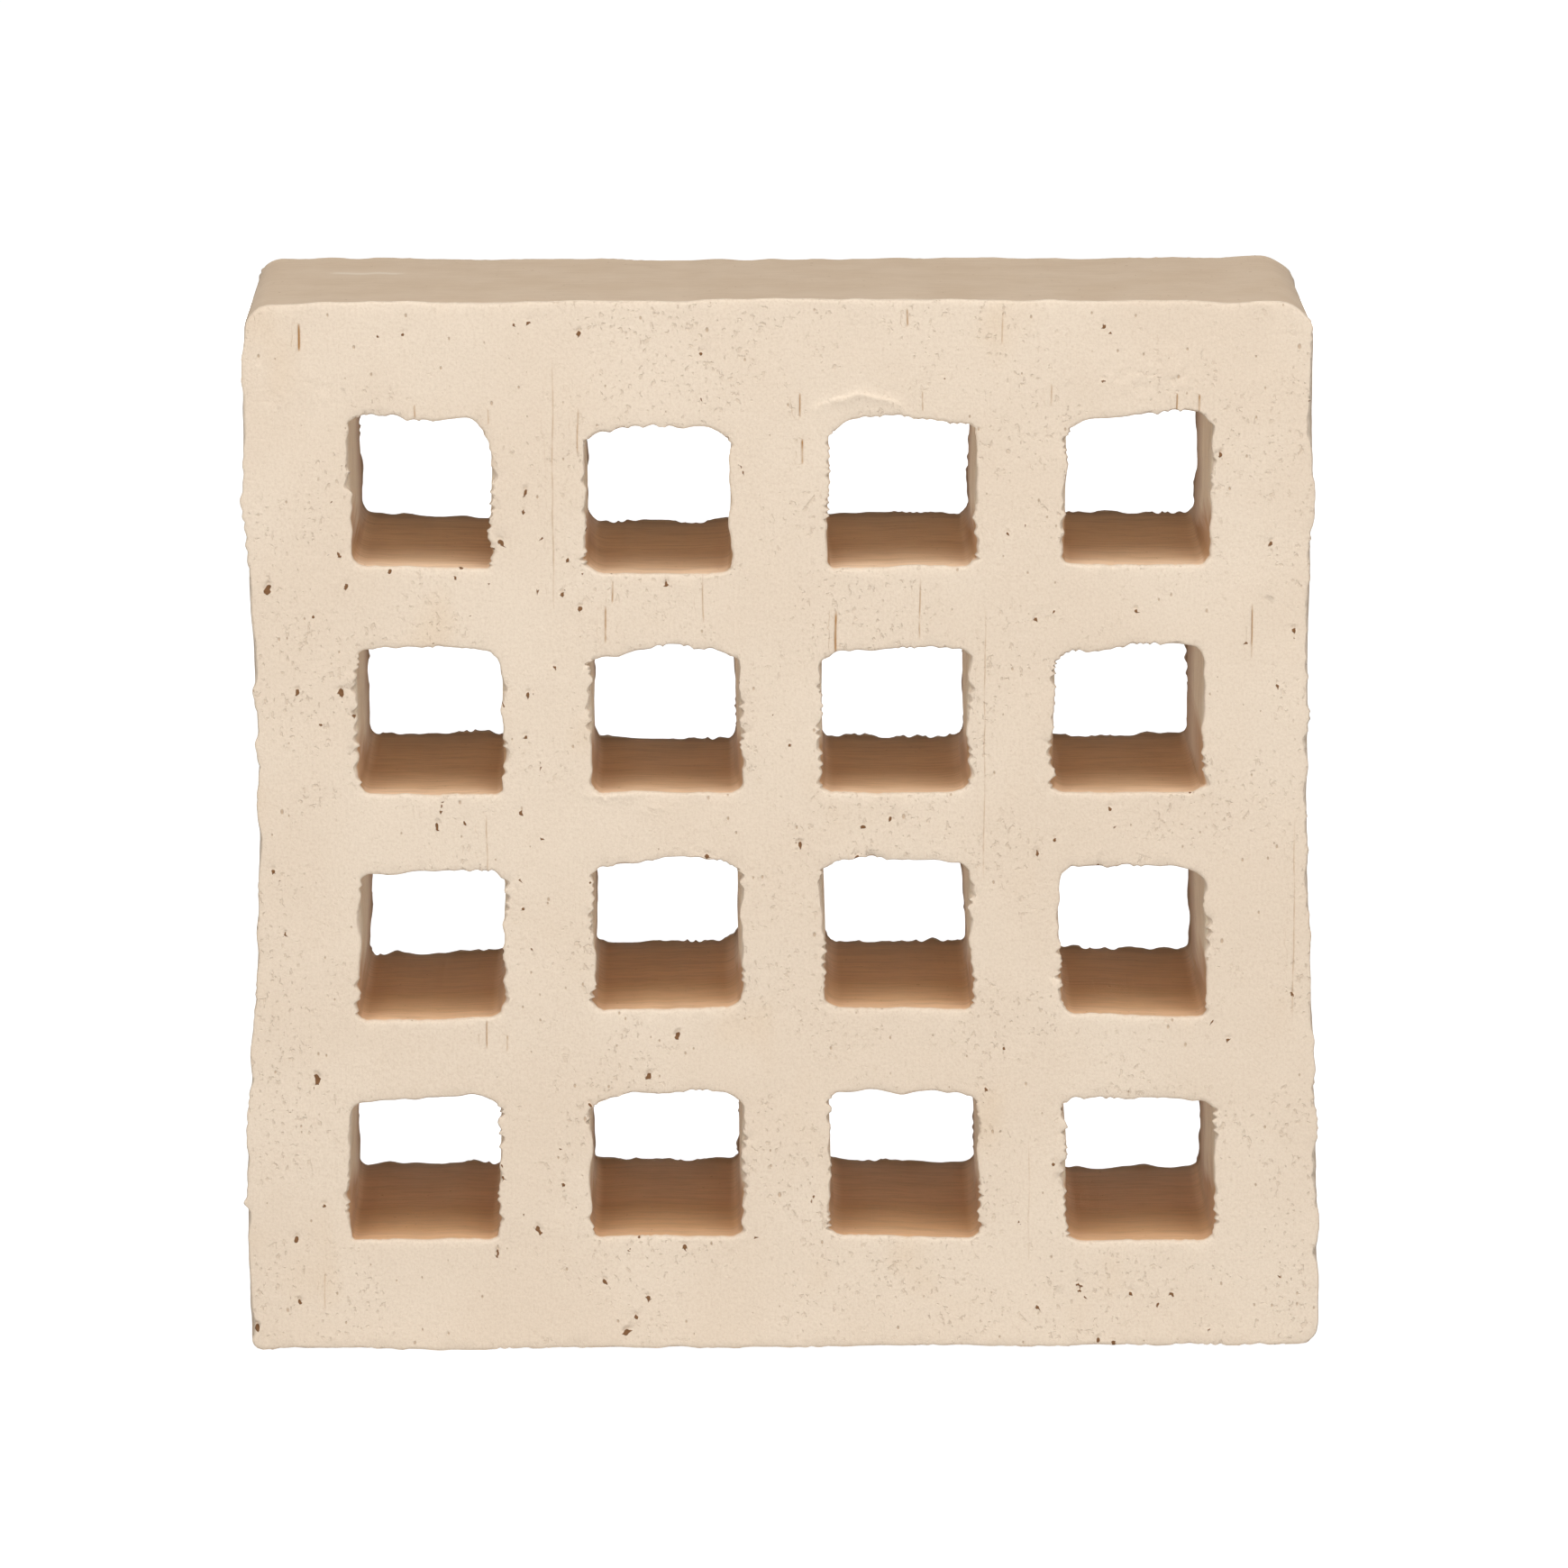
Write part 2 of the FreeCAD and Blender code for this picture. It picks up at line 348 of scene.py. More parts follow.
class Section:
    """The block's section: its grid lines, the cells in them, and where each edge lies."""

    def __init__(self, shape):
        self.width, self.depth, self.height = CAD_SIZE / MM
        self.cells_across, self.cells_up = shape.cell_columns, shape.cell_rows
        self.x_stops = self.edge_lines(
            self.width, shape.side_rim / MM, shape.upright_web / MM, shape.cell_columns
        ) - self.width / 2
        self.z_stops = self.edge_lines(
            self.height, shape.bed_rim / MM, shape.level_web / MM, shape.cell_rows
        )
        pitch = shape.grid_pitch / MM
        self.x = graded(self.x_stops, pitch)
        self.z = graded(self.z_stops, pitch)
        self.y = depth_lines(self.depth, shape.depth_steps)
        self.grid_x, self.grid_z = np.meshgrid(self.x, self.z, indexing="ij")
        self.low_x, self.high_x = self.x_stops[1:-1:2], self.x_stops[2::2]
        self.low_z, self.high_z = self.z_stops[1:-1:2], self.z_stops[2::2]
        self.corner_radii = shape.corner_wear * np.array(CORNER_RADII).T
        self.top_corner = shape.top_corner_radius / MM
        self.bottom_corner = shape.bottom_corner_radius / MM

    @staticmethod
    def edge_lines(length, rim, web, count):
        """Every edge that a line across the section meets: rims at the ends, webs between."""
        cell = (length - 2 * rim - (count - 1) * web) / count
        starts = rim + np.arange(count) * (cell + web)
        cell_edges = np.stack([starts, starts + cell], axis=1).ravel()
        return np.concatenate([[0.0], cell_edges, [length]])

    def clay(self):
        """Which squares of the grid hold clay: all but those inside a cell."""
        middle_x = (self.x[1:] + self.x[:-1]) / 2
        middle_z = (self.z[1:] + self.z[:-1]) / 2
        in_column = self.inside(middle_x, self.low_x, self.high_x)
        in_row = self.inside(middle_z, self.low_z, self.high_z)
        return ~(in_column[:, None] & in_row[None, :])

    @staticmethod
    def inside(places, low, high):
        """Which places lie between one of the pairs of low and high edges."""
        return ((places[:, None] > low) & (places[:, None] < high)).any(axis=1)

    def from_cell(self):
        """Signed steps past the nearest cell's edges, its quarter, and its corner's radius."""
        column, centre_x, half_x = self.nearest(self.x, self.low_x, self.high_x)
        row, centre_z, half_z = self.nearest(self.z, self.low_z, self.high_z)
        side_x, side_z = self.x - centre_x, self.z - centre_z
        past_x = np.broadcast_to((np.abs(side_x) - half_x)[:, None], self.grid_x.shape)
        past_z = np.broadcast_to((np.abs(side_z) - half_z)[None, :], self.grid_x.shape)
        sign_x = np.broadcast_to(np.sign(side_x)[:, None], self.grid_x.shape)
        sign_z = np.broadcast_to(np.sign(side_z)[None, :], self.grid_x.shape)
        corner_x = np.searchsorted((self.low_x + self.high_x) / 2, self.x) + column
        corner_z = np.searchsorted((self.low_z + self.high_z) / 2, self.z) + row
        radius = self.corner_radii[np.ix_(corner_x, corner_z)]
        return past_x, past_z, sign_x, sign_z, radius

    @staticmethod
    def nearest(places, low, high):
        """Number, centre and half size of the cell nearest to each place, along one way."""
        middle = (low + high) / 2
        pick = np.abs(places[:, None] - middle).argmin(axis=1)
        return pick, middle[pick], ((high - low) / 2)[pick]

    def from_outline(self):
        """Signed steps past the nearest end and bed, with that corner's radius and quarter."""
        middle_z = self.height / 2
        past_x = np.abs(self.grid_x) - self.width / 2
        past_z = np.abs(self.grid_z - middle_z) - self.height / 2
        top_corner = np.where(self.grid_x > 0, 1.3, 1.0) * self.top_corner
        radius = np.where(self.grid_z > middle_z, top_corner, self.bottom_corner)
        return past_x, past_z, np.sign(self.grid_x), np.sign(self.grid_z - middle_z), radius


def rounded_corner(along, away, radius):
    """The move that bends a sharp corner's two edges onto an arc of that radius.

    along is the distance from the corner along the edge, and away the distance from the edge. An
    edge point at s goes to the arc at 45 degrees times 1 - s / radius. Returns the move square to
    the edge and the move along it, which fade out over two radii from the edge.
    """
    angle = math.pi / 4 * (1 - np.clip(along / radius, 0, 1))
    square = radius * (np.cos(angle) - 1)
    sideways = radius * (np.sin(angle) - 1) + np.clip(along, 0, radius)
    fade = np.clip(1 - away / (2 * radius), 0, 1) ** 2
    return square * fade, sideways * fade


def corner_field(section):
    """Moves of the grid, along X and Z, that round the cells' corners and the block's own."""
    past_x, past_z, sign_x, sign_z, radius = section.from_cell()
    upright = past_x >= past_z
    along = np.clip(-np.minimum(past_x, past_z), 0, None)
    away = np.hypot(np.clip(past_x, 0, None), np.clip(past_z, 0, None))
    square, sideways = rounded_corner(along, away, radius)
    move_x = np.where(upright, square, sideways) * sign_x
    move_z = np.where(upright, sideways, square) * sign_z

    past_x, past_z, sign_x, sign_z, radius = section.from_outline()
    upright = past_x >= past_z
    square, sideways = rounded_corner(
        np.abs(past_x - past_z), -np.maximum(past_x, past_z), radius
    )
    move_x += np.where(upright, square, sideways) * sign_x
    move_z += np.where(upright, sideways, square) * sign_z
    return move_x, move_z


def settle_field(section):
    """Moves of the grid that follow the two settling tables, splined between their knots."""
    knots_x = np.concatenate([[section.x[0]], (section.low_x + section.high_x) / 2, section.x[-1:]])
    knots_z = np.concatenate([[section.z[0]], (section.low_z + section.high_z) / 2, section.z[-1:]])
    places_x = np.interp(section.x, knots_x, np.arange(len(knots_x)))
    places_z = np.interp(section.z, knots_z, np.arange(len(knots_z)))
    along = spline_weights(len(knots_x), places_x)
    upward = spline_weights(len(knots_z), places_z)
    return (
        along @ np.array(SETTLED_ALONG).T @ upward.T,
        along @ np.array(SETTLED_UP).T @ upward.T,
    )


def bow_field(section):
    """Move of the grid along Z that bows the cells' top edges, splined across each cell."""
    move = np.zeros_like(section.grid_z)
    for column in range(section.cells_across):
        low_x, high_x = section.low_x[column], section.high_x[column]
        across = np.clip((section.x - low_x) / (high_x - low_x), 0, 1)
        beside = within(section.x, low_x, high_x, MOVED_REACH)[:, None]
        for row in range(section.cells_up):
            bow = np.array(TOP_EDGE_BOWS[row][column])
            weights = spline_weights(len(bow), (len(bow) - 1) * across) * beside
            near_top = near(section.z, section.high_z[row], MOVED_REACH)
            move += np.outer(weights @ bow, near_top)
    return move


def side_field(section, shifts, inner):
    """Move of the grid along X that shifts one side of every cell: the inner or the outer one."""
    move = np.zeros_like(section.grid_x)
    for column in range(section.cells_across):
        right_side = (column < section.cells_across / 2) == inner
        side = (section.high_x if right_side else section.low_x)[column]
        near_side = near(section.x, side, MOVED_REACH)
        for row in range(section.cells_up):
            beside = within(section.z, section.low_z[row], section.high_z[row], MOVED_REACH)
            move += np.outer(near_side, shifts[row][column] * beside)
    return move


def drop_field(section):
    """Move of the grid along Z that lowers the cells' sills."""
    move = np.zeros_like(section.grid_z)
    for column in range(section.cells_across):
        beside = within(section.x, section.low_x[column], section.high_x[column], MOVED_REACH)
        for row in range(section.cells_up):
            near_sill = near(section.z, section.low_z[row], MOVED_REACH)
            move -= np.outer(SILL_DROPS[row][column] * beside, near_sill)
    return move


def nicks(places, marks):
    """A line along an end that is pushed sideways by a bell curve at each mark."""
    return sum(push * np.exp(-(((places - at) / reach) ** 2)) for at, reach, push in marks)


def edge_field(section, rng, cell_waves, outline_waves):
    """Moves of the grid that make every edge of one cut face ragged.

    Each edge has a ragged line of its own, which is how far it moves square to itself. The move
    fades with the distance from the edge, and past the edge's ends. The waves are those of the
    cells' sides, tops and sills, and of the block's ends, foot and top bed.
    """
    side_waves, top_waves, sill_waves = cell_waves
    end_waves, foot_waves, bed_waves = outline_waves
    lowest_foot = -0.2
    cells = section.cells_across * section.cells_up
    left, right = (ragged(rng, section.z, side_waves, cells) for _ in range(2))
    top = ragged(rng, section.x, top_waves, cells)
    sill = ragged(rng, section.x, sill_waves, cells)
    ends = ragged(rng, section.z, end_waves, 2)
    foot = np.maximum(ragged(rng, section.x, foot_waves, 1)[:, 0], lowest_foot)
    bed = ragged(rng, section.x, bed_waves, 1)[:, 0]

    move_x = np.zeros_like(section.grid_x)
    move_z = np.zeros_like(section.grid_x)
    for column in range(section.cells_across):
        low_x, high_x = section.low_x[column], section.high_x[column]
        near_left = near(section.x, low_x, RAGGED_REACH)
        near_right = near(section.x, high_x, RAGGED_REACH)
        across = within(section.x, low_x + 1, high_x - 1, RAGGED_END_REACH)
        for row in range(section.cells_up):
            cell = column * section.cells_up + row
            low_z, high_z = section.low_z[row], section.high_z[row]
            near_sill = near(section.z, low_z, RAGGED_REACH)
            near_top = near(section.z, high_z, RAGGED_REACH)
            upward = within(section.z, low_z + 1, high_z - 1, RAGGED_END_REACH)
            move_x += np.outer(near_left, left[:, cell] * upward)
            move_x -= np.outer(near_right, right[:, cell] * upward)
            move_z += np.outer(sill[:, cell] * across, near_sill)
            move_z -= np.outer(top[:, cell] * across, near_top)

    near_left = near(section.x, section.x[0], MOVED_REACH)
    near_right = near(section.x, section.x[-1], MOVED_REACH)
    move_x += np.outer(near_left, ends[:, 0]) + np.outer(near_right, ends[:, 1])
    near_foot = near(section.z, section.z[0], BED_REACH)
    near_bed = near(section.z, section.z[-1], BED_REACH)
    move_z += np.outer(foot, near_foot) + np.outer(bed, near_bed)
    return move_x, move_z


def arris_fields(section, radius):
    """How far each grid point falls back at a cut face, and how far its wall backs off there.

    Both are parabolas that end a radius from the arris. The wall backs off into the clay, square
    to the rounded section: that is the way from the corner's centre, or from the straight edge.
    """
    deepest = 0.45 * radius
    touching = 1e-6

    def square_to(past_x, past_z, sign_x, sign_z, corner):
        into_x = np.clip(past_x + corner, 0, None)
        into_z = np.clip(past_z + corner, 0, None)
        length = np.maximum(np.hypot(into_x, into_z), touching)
        return into_x / length * sign_x, into_z / length * sign_z

    cell = section.from_cell()
    away = np.hypot(np.clip(cell[0], 0, None), np.clip(cell[1], 0, None))
    on_wall = away < touching
    back_x, back_z = (np.where(on_wall, part, 0) for part in square_to(*cell))

    outline = section.from_outline()
    rim = -np.maximum(outline[0], outline[1])
    out_x, out_z = square_to(*outline)
    back_x = np.where(rim < touching, -out_x, back_x)
    back_z = np.where(rim < touching, -out_z, back_z)

    from_edge = np.minimum(away, rim)
    fall = deepest * np.clip(1 - from_edge / radius, 0, 1) ** 2
    return fall, deepest * back_x, deepest * back_z


# --------------------------------------------------------------------------- cut face relief


class CutFace:
    """Relief of one wire-cut face: hollows in millimetres and the pits' painted shade, on a fine
    raster.
    """

    PITCH = 0.125
    MARGIN = 5.0

    def __init__(self, section, rng):
        half = section.width / 2 + self.MARGIN
        self.x = np.arange(-half, half, self.PITCH)
        self.z = np.arange(-self.MARGIN, section.height + self.MARGIN, self.PITCH)
        self.hollow = np.zeros((len(self.x), len(self.z)))
        self.dark = np.zeros_like(self.hollow)
        self.aside = np.full_like(self.hollow, 9.0)
        self.score = np.zeros_like(self.hollow)
        self.torn = mottle(rng, self.x, self.z, 1.1)

    def window(self, x, z, reach_x, reach_z):
        """The part of the raster round a mark, and the distances from the mark in it."""
        first_x, last_x = np.searchsorted(self.x, (x - reach_x, x + reach_x))
        first_z, last_z = np.searchsorted(self.z, (z - reach_z, z + reach_z))
        part = np.s_[first_x:last_x, first_z:last_z]
        return part, self.x[first_x:last_x, None] - x, self.z[None, first_z:last_z] - z

    def undulate(self, rng):
        """The slow waves and the faint tear of the whole cut."""
        for wave, height in ((45.0, 0.10), (16.0, 0.05), (5.0, 0.020), (2.2, 0.010)):
            self.hollow += height * mottle(rng, self.x, self.z, wave)

    def pit(self, x, z, radius, depth, stretch, lean=0.0):
        """A hollow with steep sides, exp(-r^4), a torn outline, and a low rim round it."""
        rim_height, rim_at, rim_width, tear = 0.16, 1.5, 0.4, 0.7
        reach = 3 * radius * max(stretch, 1)
        part, along, up = self.window(x, z, reach, reach)
        along = along - lean * up
        ring = np.hypot(along / radius, up / (radius * stretch)) * (1 + tear * self.torn[part])
        self.hollow[part] += depth * np.exp(-ring**4)
        self.hollow[part] -= rim_height * depth * np.exp(-((ring - rim_at) / rim_width) ** 2)
        # How far into the pit's painted shade each point lies.
        self.dark[part] = np.maximum(self.dark[part], 1.5 - ring)

    def drag_line(self, rng, x, top, bottom, width, depth):
        """A groove that wavers sideways: a shallow trough here, and its fine section kept apart.

        aside is the signed distance from the nearest groove's middle, in its own half widths, and
        score is that groove's depth, which fades out towards its ends and sideways.
        """
        wavering, trough, trough_width, band = 0.12, 0.2, 0.35, 1.2
        middle, half = (top + bottom) / 2, (top - bottom) / 2
        part, along, up = self.window(x, middle, 1.4, half + 1)
        if min(along.shape + up.shape) == 0:
            return
        along = along - wavering * wander(rng, up[0], 9.0)[:, 0]
        broken = np.clip(0.85 + 0.5 * wander(rng, up[0], 3.0)[:, 0], 0, 1)
        taper = np.clip((1.08 - np.abs(up[0]) / half) * 3, 0, 1) * broken
        score = depth * taper * np.clip((band - np.abs(along)) / 0.5, 0, 1)
        self.hollow[part] += trough * depth * taper * np.exp(-((along / trough_width) ** 2))
        nearer = score > self.score[part]
        self.aside[part] = np.where(nearer, along / (0.55 * width), self.aside[part])
        self.score[part] = np.where(nearer, score, self.score[part])

    def smear(self, rng, x, z, half_width, half_height, rise):
        """Clay dragged over the cut: a low cushion, lumpy from a fast field and torn by creases."""
        part, along, up = self.window(x, z, 1.5 * half_width, 1.8 * half_height)
        cushion = np.exp(-((along / half_width) ** 4) - (up / half_height) ** 2)
        lumps = mottle(rng, self.x[part[0]], self.z[part[1]], 1.6)
        creases = np.abs(mottle(rng, self.x[part[0]], self.z[part[1]], 3.4)) < 0.12
        self.hollow[part] -= rise * cushion * (0.55 + 0.5 * lumps - 0.7 * creases)

    def flap(self, rng, x, z, half_width, height, rise):
        """A lip of clay folded over the cut: steep along its arched top, fading out below it."""
        step, fading = 0.3, 1.0
        part, along, up = self.window(x, z, half_width, 2 * height)
        arch = height * (1 - (along / half_width) ** 2) + 0.5 * wander(rng, along[:, 0], 5.0)
        below = np.clip(arch - up, 0, None)
        ends = np.clip(1.6 - 1.6 * np.abs(along / half_width), 0, 1)
        lip = np.clip(below / step, 0, 1) * np.exp(-below / fading)
        self.hollow[part] -= rise * ends * lip

    def scatter(self, rng, count):
        """Small pits, most of them stretched the way the wire ran."""
        clusters = rng.uniform((self.x[0], self.z[0]), (self.x[-1], self.z[-1]), (count // 6, 2))
        places = clusters[rng.integers(0, count // 6, count)] + rng.normal(0, 9.0, (count, 2))
        x, z = places.T
        radius = rng.uniform(0.14, 0.24, count) * rng.choice((1.0, 1.0, 1.5), count)
        stretch = rng.uniform(0.8, 2.2, count)
        lean = rng.uniform(-0.5, 0.5, count)
        for place in zip(x, z, radius, 1.1 * radius, stretch, lean):
            self.pit(*place)

    def read(self, raster, x, z):
        """The raster's value at each place, linear between its points."""
        at_x = np.clip((x - self.x[0]) / self.PITCH, 0, len(self.x) - 1.001)
        at_z = np.clip((z - self.z[0]) / self.PITCH, 0, len(self.z) - 1.001)
        i, k = at_x.astype(int), at_z.astype(int)
        u, v = at_x - i, at_z - k
        low = raster[i, k] * (1 - u) + raster[i + 1, k] * u
        high = raster[i, k + 1] * (1 - u) + raster[i + 1, k + 1] * u
        return low * (1 - v) + high * v


def front_face(section, rng, small_pits):
    """The face in view as the block stands, with its own marks by name."""
    face = CutFace(section, rng)
    face.undulate(rng)
    face.flap(rng, *FLAP)
    for smear in SMEARS:
        face.smear(rng, *smear)
    for line in DRAG_LINES:
        face.drag_line(rng, *line)
    for pit in PITS:
        face.pit(*pit)
    face.scatter(rng, small_pits)
    return face


def back_face(section, rng, small_pits):
    """The far face, cut by the same wire: like marks in other places."""
    face = CutFace(section, rng)
    face.undulate(rng)
    for _ in range(22):
        top = rng.uniform(12, section.height)
        face.drag_line(rng, rng.uniform(-96, 96), top, top - rng.uniform(3, 12), 0.25, 0.25)
    for _ in range(6):
        x, z = rng.uniform(-90, 90), rng.uniform(8, section.height - 8)
        face.smear(rng, x, z, rng.uniform(3, 9), rng.uniform(1, 4), 0.2)
    for _ in range(30):
        x, z = rng.uniform(-97, 97), rng.uniform(3, section.height - 3)
        face.pit(x, z, rng.uniform(0.25, 0.45), 0.45, rng.uniform(0.8, 1.8))
    face.scatter(rng, small_pits)
    return face


# --------------------------------------------------------------------------- the block


def lattice_skin(clay, layers):
    """Quads of the skin of a solid lattice, as corner numbers (column, layer, row), outwards.

    clay says which squares of the section are solid, and layers is the number of grid lines
    through the depth. A square's two ends are skin, and so is each side where clay starts or stops.
    """
    quads = []
    i, k = np.nonzero(clay)
    first, last = np.zeros_like(i), np.full_like(i, layers - 1)
    quads.append([(i, first, k), (i + 1, first, k), (i + 1, first, k + 1), (i, first, k + 1)])
    quads.append([(i, last, k), (i, last, k + 1), (i + 1, last, k + 1), (i + 1, last, k)])
    padded = np.pad(clay.astype(int), 1)
    across = np.diff(padded, axis=0)[:, 1:-1]
    upward = np.diff(padded, axis=1)[1:-1, :]
    steps = np.arange(layers - 1)
    for change in (1, -1):
        i, k = (a.repeat(layers - 1) for a in np.nonzero(across == change))
        j = np.tile(steps, len(i) // (layers - 1))
        ring = [(i, j, k), (i, j, k + 1), (i, j + 1, k + 1), (i, j + 1, k)]
        quads.append(ring[::-change])
        i, k = (a.repeat(layers - 1) for a in np.nonzero(upward == change))
        j = np.tile(steps, len(i) // (layers - 1))
        ring = [(i, j, k), (i, j + 1, k), (i + 1, j + 1, k), (i + 1, j, k)]
        quads.append(ring[::-change])
    return np.concatenate([np.stack([np.stack(c, -1) for c in quad], 1) for quad in quads])


def fired_points(section, corners, shape):
    """Where firing and cutting left each lattice point, in millimetres, and the two cut faces.

    A point is its place on the lattice plus the moves of every field. Those of the whole section
    count at every depth, and the others fade with the distance from their own cut face.
    """
    i, j, k = corners.T
    rng = np.random.default_rng(shape.seed)
    settle_x, settle_z = settle_field(section)
    corner_x, corner_z = corner_field(section)
    outline = (OUTLINE_WAVES, FOOT_WAVES, TOP_BED_WAVES)
    front_cells = (CELL_SIDE_WAVES, CELL_TOP_WAVES, CELL_SILL_WAVES)
    front_x, front_z = edge_field(section, rng, front_cells, outline)
    back_x, back_z = edge_field(section, rng, (CELL_BACK_WAVES,) * 3, outline)
    skin_x, skin_z = edge_field(section, rng, (SKIN_WAVES,) * 3, (SKIN_WAVES,) * 3)
    near_left = near(section.x, section.x[0], NICK_REACH)
    near_right = near(section.x, section.x[-1], NICK_REACH)
    front_x += np.outer(near_left, nicks(section.z, LEFT_NICKS))
    front_x += np.outer(near_right, nicks(section.z, RIGHT_NICKS))
    bow, drop = bow_field(section), drop_field(section)
    inner_side = side_field(section, SIDE_SHIFTS_FRONT, True)
    outer_side = side_field(section, SIDE_SHIFTS_BACK, False)
    arris = shape.arris_radius / MM
    fall, arris_x, arris_z = arris_fields(section, arris)
    arris_z = arris_z * np.clip(section.grid_z / 3, 0, 1)
    front = front_face(section, rng, shape.small_pits)
    back = back_face(section, rng, shape.small_pits)

    # Nearness to each cut face, 1 at the face.
    from_front = section.y - section.y[0]
    from_back = section.y[-1] - section.y
    faces = (from_front, from_back)
    torn_front, torn_back = (np.exp(-((d / TORN_DEPTH) ** TORN_POWER)) for d in faces)
    moved_front, moved_back = (np.exp(-d / MOVED_DEPTH) for d in faces)
    relief_front, relief_back = (np.exp(-d / RELIEF_DEPTH) for d in faces)
    rounding = sum(np.clip(1 - d / arris, 0, 1) ** 2 for d in faces)
    inward = from_front / section.depth

    x = section.x[i] + settle_x[i, k] + corner_x[i, k] + skin_x[i, k]
    x += torn_front[j] * front_x[i, k] + torn_back[j] * back_x[i, k]
    x += moved_front[j] * inner_side[i, k] + moved_back[j] * outer_side[i, k]
    x += rounding[j] * arris_x[i, k]
    z = section.z[k] + settle_z[i, k] + corner_z[i, k] + skin_z[i, k]
    z += torn_front[j] * front_z[i, k] + torn_back[j] * back_z[i, k]
    z += moved_front[j] * bow[i, k] + inward[j] * drop[i, k]
    z += rounding[j] * arris_z[i, k]

    # The top bed sagged a little towards the back, most of all in the middle.
    sag = shape.top_sag / MM * inward[j] * (1 - (x / section.width * 2) ** 2)
    z -= sag * np.clip(z / section.height, 0, 1) ** 8

    y = section.y[j] + relief_front[j] * front.read(front.hollow, x, z)
    y -= relief_back[j] * back.read(back.hollow, x, z)
    y += np.where(j == 0, fall[i, k], 0)
    y -= np.where(j == len(section.y) - 1, fall[i, k], 0)
    z -= z.min()
    return np.stack([x, y, z], axis=1), front, back


def mesh_from_quads(name, points, quads):
    """A mesh from points in metres and quads of point numbers."""
    mesh = bpy.data.meshes.new(name)
    mesh.vertices.add(len(points))
    mesh.vertices.foreach_set("co", points.astype(np.float32).ravel())
    mesh.loops.add(quads.size)
    mesh.loops.foreach_set("vertex_index", quads.astype(np.int32).ravel())
    mesh.polygons.add(len(quads))
    mesh.polygons.foreach_set("loop_start", np.arange(0, quads.size, 4, dtype=np.int32))
    mesh.update(calc_edges=True)
    return mesh


def thinned(mesh, triangles, plain):
    """The mesh with its flattest edges collapsed until about that many triangles are left.

    Only the plain points take part at first, so the marks stay as fine as they were drawn.
    """
    carrier = bpy.data.objects.new(mesh.name, mesh)
    bpy.context.scene.collection.objects.link(carrier)
    carrier.vertex_groups.new(name="plain").add(np.flatnonzero(plain).tolist(), 1.0, "REPLACE")
    thinning = carrier.modifiers.new("thinning", "DECIMATE")
    thinning.ratio = min(1.0, triangles / (2 * len(mesh.polygons)))
    thinning.vertex_group = "plain"
    evaluated = carrier.evaluated_get(bpy.context.evaluated_depsgraph_get())
    result = bpy.data.meshes.new_from_object(evaluated)
    bpy.data.objects.remove(carrier)
    bpy.data.meshes.remove(mesh)
    return result


def marks_at(section, points, front, back):
    """The marks at each point, read from the rasters of the cut face it lies on."""
    reach, blur = 1.2, 0.4
    x, y, z = points.T
    on_front = np.clip((section.y[0] + reach - y) / blur, 0, 1)
    on_back = np.clip((y - section.y[-1] + reach) / blur, 0, 1)
    return {
        "pit": on_front * front.read(front.dark, x, z) + on_back * back.read(back.dark, x, z),
        "score": on_front * front.read(front.score, x, z) + on_back * back.read(back.score, x, z),
        "aside": np.where(y < 0, front.read(front.aside, x, z), back.read(back.aside, x, z)),
    }


def wall_shade(section, points):
    """Painted shadow of the sill: 1 low on the cells' side walls, and 0 above a line that climbs
    from the back of the sill.
    """
    slope, clear, blur = 0.2, 1.0, 3.0
    y, z = points[:, 1], points[:, 2]
    row = np.clip(np.searchsorted(section.low_z, z + blur) - 1, 0, None)
    above_sill = z - section.low_z[row]
    climb = slope * (section.y[-1] - y)
    return np.clip((climb + clear - above_sill) / blur, 0, 1)


def keep_marks(mesh, section, front, back):
    """Stores the marks, with the pits' painted shade, and the side walls' painted shadow on the
    mesh's points, for the material to draw.
    """
    points = np.empty(3 * len(mesh.vertices), np.float32)
    mesh.vertices.foreach_get("co", points)
    points = points.reshape(-1, 3) / MM
    marks = marks_at(section, points, front, back)
    marks["shade"] = wall_shade(section, points)
    for name, values in marks.items():
        layer = mesh.attributes.new(name, "FLOAT", "POINT")
        layer.data.foreach_set("value", values.astype(np.float32))


# --------------------------------------------------------------------------- materials


def node(tree, kind, settings=None, **inputs):
    """A shader node with its settings, and values or links for its inputs by name or number."""
    made = tree.nodes.new(kind)
    for key, value in (settings or {}).items():
        setattr(made, key, value)
    for key, value in inputs.items():
        put(tree, made, key.replace("_", " "), value)
    return made


def put(tree, made, key, value):
    """Sets one input: a link if value is another node's output, and otherwise its default."""
    socket = made.inputs[key]
    if isinstance(value, bpy.types.NodeSocket):
        tree.links.new(value, socket)
    else:
        socket.default_value = value


def maths(tree, operation, first, second=0.0, clamp=False):
    """A Math node's output."""
    made = node(tree, "ShaderNodeMath", {"operation": operation, "use_clamp": clamp})
    put(tree, made, 0, first)
    put(tree, made, 1, second)
    return made.outputs[0]


def ramp(tree, value, low, high, to_low=0.0, to_high=1.0):
    """A smooth Map Range from low..high."""
    made = node(
        tree, "ShaderNodeMapRange", {"interpolation_type": "SMOOTHSTEP"},
        Value=value, From_Min=low, From_Max=high, To_Min=to_low, To_Max=to_high,
    )
    return made.outputs["Result"]


def blend(tree, factor, first, second):
    """A colour Mix node's output."""
    made = node(tree, "ShaderNodeMix", {"data_type": "RGBA"})
    put(tree, made, 0, factor)
    put(tree, made, 6, first)
    put(tree, made, 7, second)
    return made.outputs[2]


